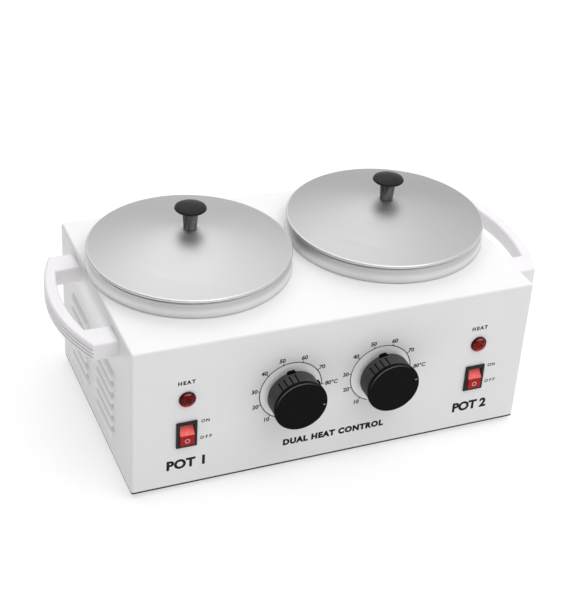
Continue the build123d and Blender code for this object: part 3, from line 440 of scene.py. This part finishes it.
def heated_steel():
    """Steel band dulled by heat: straw, purple and blue along its height."""
    low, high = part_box("heater_band_left")
    s = Shader("heated_steel", (0.45, 0.42, 0.38), 0.45, metallic=1.0)
    here = s.place()
    wander = s.math("ADD", s.above(), s.product(s.noise(here, 15 * MM, detail=4.0), HEAT_WANDER))
    ramp = s.node("ShaderNodeValToRGB", {"Fac": s.rise(wander, low.z, high.z + HEAT_WANDER)})
    stops = ramp.color_ramp.elements
    stops[0].color, stops[1].color = STEEL_FOOT, STEEL_TOP
    for position, colour in HEAT_COLOURS.items():
        stops.new(position).color = colour
    return s.feed(Base_Color=ramp.outputs[0], Roughness=s.spread(s.noise(here, 3 * MM), 0.35, 0.55),
                  Normal=s.bump(s.noise(s.place(stretch=(1, 1, 12)), 2 * MM), 0.01 * MM, 0.5))


# ---------------------------------------------------------------- felt, sleeves, rubber and ink
def felt():
    """Needled glass-fibre felt: tangled fibres and soft lumps."""
    s = Shader("felt", (0.80, 0.78, 0.70), 0.95, Sheen_Weight=0.4)
    here = s.place()
    fibres = s.node("ShaderNodeTexWave", {"Vector": here, "Scale": 260.0, "Distortion": 22.0, "Detail": 3.0,
                                          "Detail Scale": 4.0}).outputs["Fac"]
    lumps = s.noise(here, 5 * MM, detail=4.0)
    wool = s.rise(s.average(fibres, lumps))
    return s.feed(Base_Color=s.blend(wool, (0.62, 0.58, 0.48), (0.86, 0.84, 0.78)),
                  Normal=s.bump(fibres, 0.15 * MM, 0.8, after=s.bump(lumps, 0.6 * MM, 0.8)))


def sleeve(name, colour):
    """Braided wire sleeve: two crossing sets of threads."""
    s = Shader(name, colour, 0.6, Sheen_Weight=0.2)
    threads = [s.node("ShaderNodeTexWave", {"Vector": s.place(stretch=(1, lean, lean)), "Scale": 420.0,
                                            "Distortion": 0.6}, bands_direction="DIAGONAL").outputs["Fac"]
               for lean in (1, -1)]
    braid = s.math("MAXIMUM", *threads)
    return s.feed(Base_Color=s.blend(s.rise(braid, 0.4, 1.0), lighter(colour, 0.55), lighter(colour, 1.25)),
                  Roughness=s.spread(s.noise(s.place(), 4 * MM), 0.5, 0.7),
                  Normal=s.bump(braid, 0.08 * MM, 0.8))


def rubber():
    """Matt black rubber, dusty in its pores."""
    s = Shader("rubber", (0.03, 0.03, 0.03), 0.8)
    here = s.place()
    pores = s.noise(here, 0.5 * MM, detail=5.0)
    dust = s.noise(here, 6 * MM, detail=4.0)
    return s.feed(Base_Color=s.blend(s.rise(dust), (0.018, 0.018, 0.018), (0.06, 0.058, 0.055)),
                  Roughness=s.spread(pores, 0.7, 0.92), Normal=s.bump(pores, 0.05 * MM, 0.7))


def ink():
    """Screen-printed black ink, a little thin in places."""
    s = Shader("ink", (0.006, 0.006, 0.007), 0.6, Specular_IOR_Level=0.15)
    here = s.place()
    thin = s.rise(s.noise(here, 0.6 * MM, detail=3.0), 0.4, 0.9)
    return s.feed(Base_Color=s.blend(thin, (0.004, 0.004, 0.005), (0.03, 0.03, 0.032)),
                  Roughness=s.spread(s.noise(here, 2 * MM), 0.5, 0.7))


# ---------------------------------------------------------------- materials on the CAD nodes
def paint(material, *names):
    """One material on CAD nodes."""
    for name in names:
        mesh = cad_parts[name].data
        mesh.materials.clear()
        mesh.materials.append(material)


def both(name):
    """A node's left and right."""
    return [f"{name}_{side}" for side in SIDES]


BLACK = (0.016, 0.016, 0.017)
ZINC, STEEL = (0.66, 0.66, 0.67), (0.60, 0.60, 0.60)
COPPER, BRASS = (0.78, 0.42, 0.28), (0.76, 0.62, 0.36)
WIRE_COLOURS = {"live": (0.30, 0.14, 0.07), "neutral": (0.06, 0.20, 0.55), "earth": (0.16, 0.46, 0.12)}
LID_TONE = {"left": (0.535, 0.53, 0.532), "right": (0.475, 0.47, 0.472)}
POT_TONE, WELL_TONE = (0.60, 0.595, 0.60), (0.72, 0.72, 0.72)
# painted highlight on the lids' rolled edges, painted reflection round the pots' skirts
LID_PAINTED_HIGHLIGHT, POT_PAINTED_REFLECTION = (0.76, 0.76, 0.76), (0.86, 0.855, 0.86)
LID_BEAD = 1.3 * MM             # the part of a lid's rolled edge with a painted highlight
SKIRT_INSET = 2.2 * MM          # the part of a pot's skirt with a painted reflection, in from the pot's widest part
BAND_DROP = 8 * MM              # the middle of its band of painted reflection, under the pot's top

paint(powder_coat(), "housing_shell")
paint(moulded("handle_plastic", (0.83, 0.81, 0.83), rough=(0.34, 0.48), tint=0.012), *both("handle"))
paint(knob_plastic(), *both("lid_knob"))
paint(moulded("switch_plastic", BLACK, rough=(0.4, 0.55), Specular_IOR_Level=0.2), *both("switch_body"),
      "power_inlet", "lamp_nuts")
paint(moulded("cream_plastic", (0.66, 0.62, 0.52), rough=(0.5, 0.7), depth=0.03 * MM),
      *both("thermostat_body"), "terminal_block")
paint(zinc_sheet(), "base_plate", *both("thermostat_bracket"))
paint(rubber(), "foot_front_left", "foot_front_right", "foot_rear_left", "foot_rear_right")
paint(felt(), *both("insulation_wrap"))
paint(heated_steel(), *both("heater_band"))
paint(brushed("screw_steel", ZINC, rough=(0.25, 0.4), stretch=(1, 1, 5)), "base_screws", "foot_screws",
      "foot_nuts", "handle_screws", "heater_clamp_screws", "well_screws", "thermostat_screws",
      "terminal_screws", "inlet_screws", "inlet_nuts", *both("lid_screw"))
paint(brushed("shaft_steel", STEEL, rough=(0.2, 0.35), stretch=(1, 6, 1)), *both("thermostat_shaft"))
paint(brushed("copper", COPPER, rough=(0.25, 0.45), stretch=(1, 1, 1), tint=0.18), *both("capillary"))
paint(brushed("tinned_brass", BRASS, rough=(0.25, 0.4), stretch=(1, 1, 4), tint=0.10),
      "thermostat_terminals", "switch_terminals", "inlet_pins", "earth_post")
for wire, colour in WIRE_COLOURS.items():
    paint(sleeve(f"sleeve_{wire}", colour), f"wiring_{wire}")
for side in SIDES:
    paint(dial_plastic(side), f"thermostat_knob_{side}")
    paint(rocker_plastic(side), f"rocker_{side}")
    paint(lamp_ring(side), f"lamp_body_{side}")
    lid_low, lid_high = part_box(f"lid_{side}")
    lid_r = (lid_high.x - lid_low.x) / 2
    paint(spun(f"lid_aluminium_{side}", LID_TONE[side], rough=(0.42, 0.50), centre=LIDS[side], tint=0.015,
               anisotropy=0.4, bright=LID_PAINTED_HIGHLIGHT, bright_edge=lid_r - LID_BEAD), f"lid_{side}")
    pot_low, pot_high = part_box(f"wax_pot_{side}")
    pot_r, pot_half = (pot_high.x - pot_low.x) / 2, (pot_high.z - pot_low.z) / 2
    # painted reflection in a band round the pot's skirt
    paint(spun(f"pot_aluminium_{side}", POT_TONE, rough=(0.38, 0.54), centre=POTS[side], tint=0.12,
               pitch=0.7 * MM, bright=POT_PAINTED_REFLECTION, bright_edge=pot_r - SKIRT_INSET,
               bright_at=pot_half - BAND_DROP), f"wax_pot_{side}")
    paint(spun(f"well_aluminium_{side}", WELL_TONE, rough=(0.3, 0.45), centre=POTS[side], tint=0.08),
          f"heating_well_{side}")


# ---------------------------------------------------------------- camera
CAMERA_AZIMUTH, CAMERA_ELEVATION, CAMERA_ROLL = (math.radians(angle) for angle in (-23.78, 33.15, 3.76))
CAMERA_TARGET = Vector((-0.0033, 0.00875, 0.0753))
CAMERA_DISTANCE = 1.1171
CAMERA_LENS, CAMERA_SENSOR = 88.3, 36.0         # in millimetres, as Blender has them
CAMERA_SHIFT = (0.0017, 0.0024)


def make_camera():
    """The camera stands to the left of the front and looks down, tilted a little about its own axis."""
    reach = math.cos(CAMERA_ELEVATION)
    back = Vector((math.sin(CAMERA_AZIMUTH) * reach, -math.cos(CAMERA_AZIMUTH) * reach,
                   math.sin(CAMERA_ELEVATION)))
    level = Vector((0, 0, 1)).cross(back).normalized()
    upright = back.cross(level)
    right = level * math.cos(CAMERA_ROLL) + upright * math.sin(CAMERA_ROLL)
    up = upright * math.cos(CAMERA_ROLL) - level * math.sin(CAMERA_ROLL)
    data = bpy.data.cameras.new("camera")
    data.lens = CAMERA_LENS
    data.sensor_width = CAMERA_SENSOR
    data.shift_x, data.shift_y = CAMERA_SHIFT
    camera = bpy.data.objects.new("camera", data)
    bpy.context.scene.collection.objects.link(camera)
    camera.matrix_world = Matrix((right, up, back)).transposed().to_4x4()
    camera.location = CAMERA_TARGET + back * CAMERA_DISTANCE
    bpy.context.scene.camera = camera


make_camera()


# ---------------------------------------------------------------- small mesh tools
def add_object(name, mesh, body, material, smooth=False):
    """A finished piece in the row frame, riding on a CAD body."""
    mesh.materials.clear()
    mesh.materials.append(material)
    if smooth:
        mesh.shade_smooth()
    else:
        mesh.shade_flat()
    made = bpy.data.objects.new(name, mesh)
    bpy.context.scene.collection.objects.link(made)
    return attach(made, body)


def mesh_from(name, build):
    """The mesh that build makes in a new bmesh."""
    bm = bmesh.new()
    build(bm)
    bmesh.ops.recalc_face_normals(bm, faces=bm.faces)
    mesh = bpy.data.meshes.new(name)
    bm.to_mesh(mesh)
    bm.free()
    return mesh


def wall(bm, first, second):
    """Faces between two closed loops of as many points."""
    for i in range(len(first)):
        j = (i + 1) % len(first)
        bm.faces.new((first[i], first[j], second[j], second[i]))


def slab(bm, outline, plane, thickness):
    """A closed outline on a plane (origin, right, up), thickened towards the plane's face."""
    origin, right, up = plane
    out = right.cross(up)
    back, front = [[bm.verts.new(origin + right * x + up * y + out * d) for x, y in outline]
                   for d in (0, thickness)]
    bm.faces.new(list(reversed(back)))
    bm.faces.new(front)
    wall(bm, back, front)


def slab_mesh(name, outline, plane, thickness):
    """A slab as a mesh of its own."""
    return mesh_from(name, lambda bm: slab(bm, outline, plane, thickness))


def on_panel(x, z):
    """The front panel's plane at x, z."""
    return Vector((x, panel_y, z)), Vector((1, 0, 0)), Vector((0, 0, 1))


def polar(radius, degrees):
    """The point at a radius and an angle, from three o'clock towards twelve."""
    a = math.radians(degrees)
    return radius * math.cos(a), radius * math.sin(a)


def arc_strip(radius, width, start, end, steps):
    """Outline of a strip that follows an arc."""
    turns = [start + (end - start) * i / steps for i in range(steps + 1)]
    return ([polar(radius + width / 2, a) for a in turns]
            + [polar(radius - width / 2, a) for a in reversed(turns)])


# ---------------------------------------------------------------- printed legends
INK_T = 0.05 * MM
CAPITAL_SHARE = 0.73            # height of the built-in font's capitals, as a share of its size
TIGHTEST = 0.7                  # letter spacing goes no lower
ink_black = ink()


def text_mesh(words, cap, width, slant, weight):
    """Words as a thin mesh in the XY plane, centred, with a given capital height and overall width."""
    curve = bpy.data.curves.new("words", "FONT")
    curve.body = words
    curve.size = cap / CAPITAL_SHARE
    curve.shear = slant
    curve.offset = weight
    curve.extrude = INK_T / 2
    curve.align_x, curve.align_y = "CENTER", "CENTER"
    curve.resolution_u = 4
    holder = bpy.data.objects.new("words", curve)
    bpy.context.scene.collection.objects.link(holder)

    def shaped(spacing):
        """The mesh with a letter spacing, and its width."""
        curve.space_character = spacing
        graph = bpy.context.evaluated_depsgraph_get()
        graph.update()
        mesh = bpy.data.meshes.new_from_object(holder.evaluated_get(graph))
        xs = [v.co.x for v in mesh.vertices]
        return mesh, max(xs) - min(xs)

    mesh, plain = shaped(1.0)
    if width is not None:
        wide = shaped(2.0)[1]
        mesh = shaped(max(TIGHTEST, 1.0 + (width - plain) / (wide - plain)))[0]
    low = Vector(map(min, zip(*[v.co for v in mesh.vertices])))
    high = Vector(map(max, zip(*[v.co for v in mesh.vertices])))
    mesh.transform(Matrix.Translation(-(low + high) / 2))
    bpy.data.objects.remove(holder)
    return mesh


def legend(words, x, z, cap, weight, width=None, slant=0.0):
    """Words printed on the front panel, centred at x, z; weight thickens their strokes."""
    mesh = text_mesh(words, cap, width, slant, weight)
    upright = Matrix.Rotation(math.radians(90), 4, "X")
    mesh.transform(Matrix.Translation((x, panel_y - INK_T / 2, z)) @ upright)
    return mesh


def print_on_panel(name, *meshes):
    """Several printed meshes become one piece on the housing."""
    bm = bmesh.new()
    for mesh in meshes:
        bm.from_mesh(mesh)
    joined = bpy.data.meshes.new(name)
    bm.to_mesh(joined)
    bm.free()
    add_object(name, joined, "housing", ink_black)


# where each number stands, and where the arc ends, in degrees up from three o'clock
SCALE = {10: 232, 20: 199, 30: 171, 40: 138, 50: 106, 60: 71, 70: 34, 80: 1}
SCALE_TOP = max(SCALE)
ARC_END, ARC_STEPS = 248, 96
LINE_W = 0.60 * MM
TICK_L, TICK_T = 1.5 * MM, 0.98 * INK_T         # a little thinner than the arc that they cross
NUMBER_R, NUMBER_CAP = 27.4 * MM, 3.3 * MM
UNIT_SHIFT = 3.3 * MM           # the top number stands further out, to hold its unit


def dial_scale(side):
    """The printed arc with its ticks and numbers."""
    middle = SCALES[side]
    plane = on_panel(middle.x, middle.z)

    def arc_and_ticks(bm):
        slab(bm, arc_strip(SCALE_R, LINE_W, 0, ARC_END, ARC_STEPS), plane, INK_T)
        for turn in SCALE.values():
            inner, outer = Vector(polar(SCALE_R, turn)), Vector(polar(SCALE_R + TICK_L, turn))
            across = Vector(polar(LINE_W / 2, turn + 90))
            slab(bm, [inner - across, outer - across, outer + across, inner + across], plane, TICK_T)

    def number(value, turn):
        top = value == SCALE_TOP
        x, z = polar(NUMBER_R + (UNIT_SHIFT if top else 0), turn)
        return legend(f"{value}°C" if top else str(value), middle.x + x, middle.z + z, NUMBER_CAP,
                      weight=0.14 * MM, slant=0.05)

    print_on_panel(f"dial_scale_{side}", mesh_from("arc", arc_and_ticks))
    print_on_panel(f"dial_numbers_{side}", *[number(value, turn) for value, turn in SCALE.items()])


POT_WORDS = {"left": "POT 1", "right": "POT 2"}


def switch_words(side):
    """HEAT over the lamp, ON and OFF beside the switch, and the pot's number below."""
    def word(words, right, up, **shape):
        return legend(words, SWITCHES[side].x + right, SWITCHES[side].z + up, **shape)

    heat = word("HEAT", right=-0.4 * MM, up=43.4 * MM, cap=3.0 * MM, width=12.4 * MM, weight=0.19 * MM)
    on = word("ON", right=13.6 * MM, up=8.6 * MM, cap=2.6 * MM, width=6.0 * MM, weight=0.12 * MM)
    off = word("OFF", right=14.3 * MM, up=-5.7 * MM, cap=2.6 * MM, width=8.4 * MM, weight=0.12 * MM)
    pot = word(POT_WORDS[side], right=0, up=-25.4 * MM, cap=7.7 * MM, width=28.0 * MM, weight=0.50 * MM)
    print_on_panel(f"legend_heat_{side}", heat)
    print_on_panel(f"legend_switch_{side}", on, off)
    print_on_panel(f"legend_pot_{side}", pot)


for side in SIDES:
    dial_scale(side)
    switch_words(side)
title = legend("DUAL HEAT CONTROL", x=1.0 * MM, z=SWITCHES["left"].z - 25.1 * MM, cap=4.8 * MM,
               width=78.5 * MM, weight=0.46 * MM)
print_on_panel("legend_title", title)


# ---------------------------------------------------------------- marks on the rockers and dials
MARK_T = 0.06 * MM
# from the switch's middle at the panel's face: a mark's middle, and the slope of the face that it is on
OFF_MARK_AT, LOWER_SLOPE = Vector((0, -2.63, -4.4)) * MM, Vector((0, -0.012, 1))
ON_MARK_AT, UPPER_SLOPE = Vector((0, -1.652, 1.8)) * MM, Vector((0, 5.1, 7.3))
OFF_RING_R, OFF_RING_W = 1.55 * MM, 0.6 * MM
RING_END, RING_STEPS = 359, 36          # a hair short of a full turn, so that its outline is one loop
ON_BAR_W, ON_BAR_H = 0.5 * MM, 2.0 * MM
NOTCH_FLOOR = 19.4 * MM         # out of the panel
TIP_MIDDLE = 17.3 * MM          # from the dial's axis
TIP_BACK, TIP_SHOULDER, TIP_POINT = -0.8 * MM, 0.75 * MM, 0.95 * MM     # from the tip's middle
TIP_W, TIP_T = 0.9 * MM, 0.45 * MM
mark_pink = moulded("mark_paint", (0.86, 0.36, 0.36), (0.4, 0.6))
pointer_paint = moulded("pointer_paint", (0.30, 0.30, 0.30), (0.4, 0.6))


def rocker_marks(side):
    """A ring on the rocker's lower half for off, and a bar on its pressed upper half for on."""
    middle, across, _ = on_panel(SWITCHES[side].x, SWITCHES[side].z)
    lower = (middle + OFF_MARK_AT, across, LOWER_SLOPE.normalized())
    upper = (middle + ON_MARK_AT, across, UPPER_SLOPE.normalized())
    ring = arc_strip(OFF_RING_R, OFF_RING_W, 0, RING_END, RING_STEPS)
    bar = [(x * ON_BAR_W / 2, y * ON_BAR_H / 2) for x, y in ((-1, -1), (1, -1), (1, 1), (-1, 1))]
    for name, outline, plane in (("off", ring, lower), ("on", bar, upper)):
        mark = slab_mesh(f"{name}_mark", outline, plane, MARK_T)
        add_object(f"rocker_{name}_mark_{side}", mark, f"rocker_{side}", mark_pink)


def dial_pointer(side):
    """A light tip that fills the dial's pointer notch and points outwards."""
    turn = DIAL_REST[side]
    outward, across = [Vector((x, 0, z)) for x, z in (polar(1, turn), polar(1, turn + 90))]
    middle = Vector((DIALS[side].x, panel_y - NOTCH_FLOOR, DIALS[side].z)) + outward * TIP_MIDDLE
    half = TIP_W / 2
    tip = [(TIP_BACK, -half), (TIP_SHOULDER, -half), (TIP_POINT, 0), (TIP_SHOULDER, half), (TIP_BACK, half)]
    pointer = slab_mesh("pointer", tip, (middle, outward, across), TIP_T)
    add_object(f"dial_pointer_{side}", pointer, f"dial_{side}", pointer_paint)


for side in SIDES:
    rocker_marks(side)
    dial_pointer(side)


# ---------------------------------------------------------------- dark rubber strip under the box's lower edge
STRIP_INSET, STRIP_W = 0.25 * MM, 1.1 * MM
STRIP_R, STRIP_DROP = 2.0 * MM, 0.8 * MM
STRIP_CHAMFER = 0.2 * MM
STRIP_STEPS = 5          # per corner


def corner_loop(bm, low, high, inset, z):
    """A rounded rectangle inside low and high, drawn in by inset, at height z."""
    loop = []
    for x, y, start in ((high.x, high.y, 0), (low.x, high.y, 90), (low.x, low.y, 180), (high.x, low.y, 270)):
        middle = Vector((x - math.copysign(STRIP_R, x), y - math.copysign(STRIP_R, y)))
        for i in range(STRIP_STEPS + 1):
            dx, dy = polar(STRIP_R - inset, start + 90 * i / STRIP_STEPS)
            loop.append(bm.verts.new((middle.x + dx, middle.y + dy, z)))
    return loop


def base_seal(bm):
    """A strip round the base plate, just inside the walls' outline, chamfered along its outer lower edge."""
    low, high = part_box("base_plate")
    margin = Vector((PLATE_MARGIN, PLATE_MARGIN, 0))
    low, high = low - margin, high + margin
    bottom, top = low.z - STRIP_DROP, high.z
    section = ((STRIP_INSET, top), (STRIP_INSET, bottom + STRIP_CHAMFER), (STRIP_INSET + STRIP_CHAMFER, bottom),
               (STRIP_INSET + STRIP_W, bottom), (STRIP_INSET + STRIP_W, top))
    loops = [corner_loop(bm, low, high, inset, z) for inset, z in section]
    for first, second in zip(loops, loops[1:] + loops[:1]):
        wall(bm, first, second)


# a dark strip that makes a thin dark line along the box's lower edge
add_object("base_seal", mesh_from("base_seal", base_seal), "housing", rubber(), smooth=True)


# ---------------------------------------------------------------- cut lamp lenses
LENS_R = 5.35 * MM
LENS_BACK, LENS_EDGE, LENS_TOP = 0.6 * MM, 2.0 * MM, 3.75 * MM       # out of the front panel
LENS_RINGS, LENS_CUTS = 5, 14
FACET = 0.32 * MM       # how far the low points of the cut sit under the dome


def cut_lens(bm, middle):
    """A shallow dome cut into triangles, on a plain barrel."""
    def point(radius, turn, out):
        x, z = polar(radius, turn)
        return bm.verts.new((middle.x + x, panel_y - out, middle.z + z))

    step = 360 / LENS_CUTS
    back = [point(LENS_R, i * step, LENS_BACK) for i in range(LENS_CUTS)]
    rings = [[point(LENS_R, i * step, LENS_EDGE) for i in range(LENS_CUTS)]]
    for r in range(1, LENS_RINGS):
        reach = 1 - r / LENS_RINGS
        height = LENS_TOP - (LENS_TOP - LENS_EDGE) * reach ** 2
        rings.append([point(LENS_R * reach, (i + r / 2) * step, height - (FACET if (i + r) % 2 else 0))
                      for i in range(LENS_CUTS)])
    crown = point(0, 0, LENS_TOP)
    bm.faces.new(back)
    wall(bm, back, rings[0])
    for i in range(LENS_CUTS):
        j = (i + 1) % LENS_CUTS
        for low, high in zip(rings, rings[1:]):
            bm.faces.new((low[i], low[j], high[i]))
            bm.faces.new((low[j], high[j], high[i]))
        bm.faces.new((rings[-1][i], rings[-1][j], crown))


for side in SIDES:
    lens = mesh_from("cut_lens", lambda bm: cut_lens(bm, LAMPS[side]))
    piece = add_object(f"cut_lens_{side}", lens, "housing", lens_red(side))
    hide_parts(f"lamp_lens_{side}")


# ---------------------------------------------------------------- floor
FLOOR_HALF = 12.0               # metres from its middle to an edge
FLOOR_WHITE, FLOOR_TINT = (0.50, 0.50, 0.50), 0.02
FLOOR_GLOW = 0.55


def make_floor():
    """A wide white floor that glows a little, so that it stays light in the object's shade."""
    def grid(bm):
        bmesh.ops.create_grid(bm, x_segments=1, y_segments=1, size=FLOOR_HALF)

    mesh = mesh_from("floor", grid)
    s = Shader("floor_white", FLOOR_WHITE, 0.9, Emission_Color=(1, 1, 1, 1), Emission_Strength=FLOOR_GLOW,
               Specular_IOR_Level=0.0)
    s.feed(Base_Color=s.blend(s.noise(s.place(), 0.4), lighter(FLOOR_WHITE, 1 - FLOOR_TINT),
                              lighter(FLOOR_WHITE, 1 + FLOOR_TINT)))
    mesh.materials.append(s.material)
    floor = bpy.data.objects.new("floor", mesh)
    bpy.context.scene.collection.objects.link(floor)


# ---------------------------------------------------------------- light
SKY_LOW, SKY_HIGH = 0.44, 1.22          # the room's brightness at the horizon and overhead
SKY_LEVEL = 0.95                        # the room's brightness is multiplied by this,
SKY_LEAN = (0.06, 0.40, 0.0)            # plus how far a direction goes along this: brighter behind
SCREEN_SIDE = (-1.0, 0.0, 0.0)          # a dark screen stands low on the left
SCREEN_EDGE = (0.15, 0.6)               # its soft upright edges, as the cosine of the angle from its middle
SCREEN_TOP = (0.4, 0.75)                # its soft upper edge, as the sine of the elevation
SCREEN_SHADE = 0.98                     # the share of the light that it takes


def area_light(name, place, target, size, power):
    """A softbox at place that faces target."""
    data = bpy.data.lights.new(name, "AREA")
    data.shape = "RECTANGLE"
    data.size, data.size_y = size
    data.energy = power
    lamp = bpy.data.objects.new(name, data)
    lamp.location = place
    lamp.rotation_euler = (Vector(place) - Vector(target)).to_track_quat("Z", "Y").to_euler()
    bpy.context.scene.collection.objects.link(lamp)


def make_sky():
    """A soft white room, brighter overhead and behind, with a dark screen low on the left."""
    world = bpy.data.worlds.new("studio")
    world.use_nodes = True
    tree = world.node_tree

    def math_node(operation, a, b):
        return add_node(tree, "ShaderNodeMath", {0: a, 1: b}, operation=operation).outputs[0]

    def towards(vector):
        return add_node(tree, "ShaderNodeVectorMath", {0: direction, 1: vector},
                        operation="DOT_PRODUCT").outputs["Value"]

    def spread(value, start, end, low, high):
        return add_node(tree, "ShaderNodeMapRange", {"Value": value, "From Min": start, "From Max": end,
                                                     "To Min": low, "To Max": high}).outputs[0]

    direction = add_node(tree, "ShaderNodeTexCoord", {}).outputs["Generated"]
    height = add_node(tree, "ShaderNodeSeparateXYZ", {0: direction}).outputs["Z"]
    level = spread(height, 0, 1, SKY_LOW, SKY_HIGH)
    open_sky = math_node("MULTIPLY", level, math_node("ADD", towards(SKY_LEAN), SKY_LEVEL))
    shade = math_node("MULTIPLY", spread(towards(SCREEN_SIDE), *SCREEN_EDGE, 0, 1),
                      spread(height, *SCREEN_TOP, SCREEN_SHADE, 0))
    strength = math_node("MULTIPLY", open_sky, math_node("SUBTRACT", 1.0, shade))
    background = tree.nodes["Background"]
    background.inputs["Color"].default_value = (1, 1, 1, 1)
    tree.links.new(strength, background.inputs["Strength"])
    bpy.context.scene.world = world


make_floor()
make_sky()
area_light("overhead", place=(0.3, -0.8, 1.7), target=(0.05, 0, 0.08), size=(1.6, 1.2), power=11)
area_light("rear", place=(0.25, 1.0, 1.5), target=(0, 0, 0.08), size=(1.0, 0.8), power=2)
bpy.context.scene.view_settings.view_transform = "Standard"
